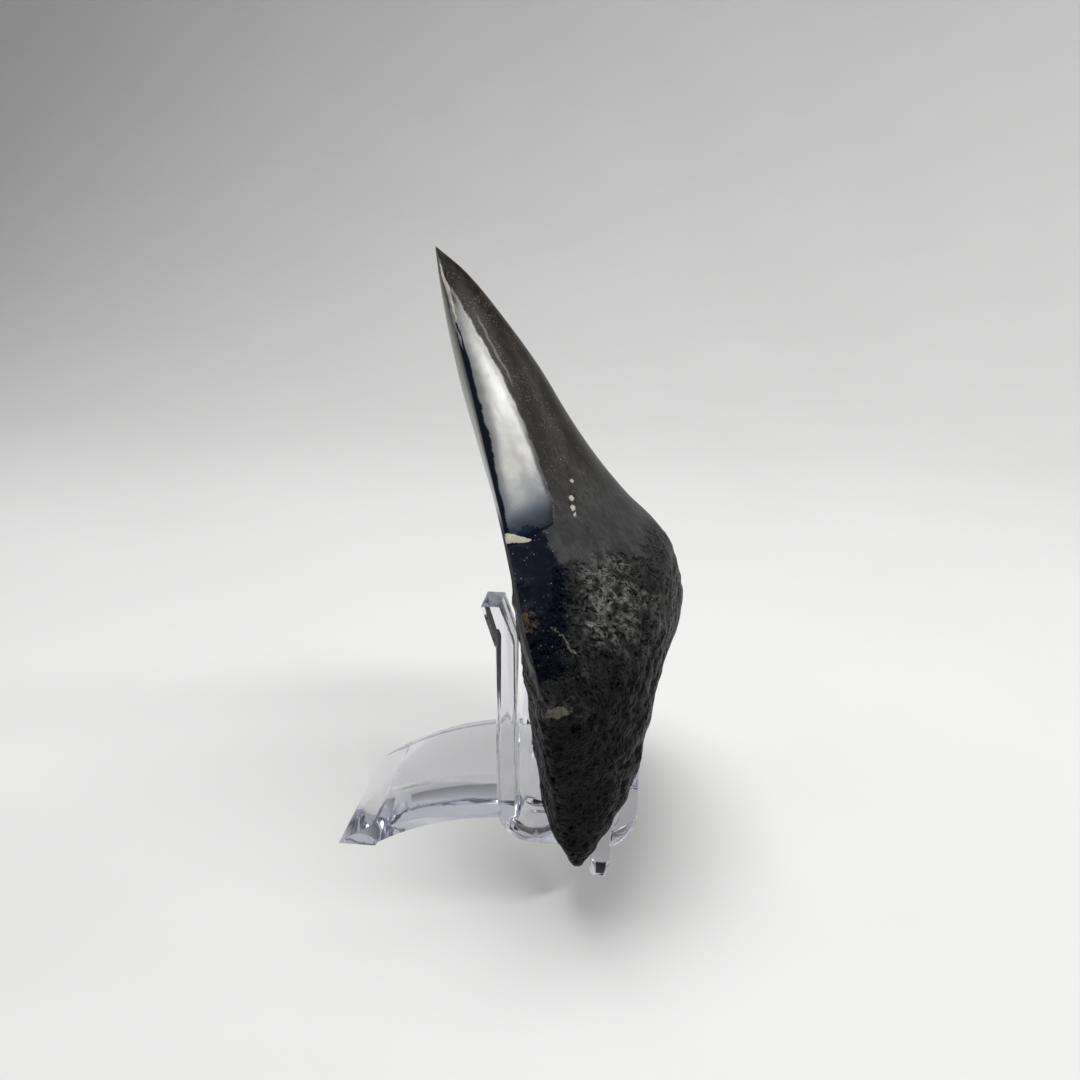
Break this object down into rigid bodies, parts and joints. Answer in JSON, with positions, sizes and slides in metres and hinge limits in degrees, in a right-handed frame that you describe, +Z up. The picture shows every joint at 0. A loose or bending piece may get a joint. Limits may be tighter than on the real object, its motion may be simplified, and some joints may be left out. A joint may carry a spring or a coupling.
{
  "type": "fossil shark tooth on display stand",
  "caption": "Large fossil megalodon tooth with a polished crown and rough two-lobed root, leaning on a one-piece clear plastic display stand.",
  "frame": {"origin": "bottom centre of the whole object's box, on the surface it stands on", "axes": "+Z up, +X from the stand's rear foot towards the hooks and the tooth's lingual side, Y across the tooth"},
  "size_m": [0.0778, 0.0966, 0.1344],
  "materials": {
    "tooth": "black mineralised enamel, polished, over a rough black root",
    "clear_plastic": "clear moulded polystyrene, faint lilac at the edges"
  },
  "bodies": {
    "root": {"tooth": "tooth", "stand": "clear_plastic"}
  },
  "joints": []
}
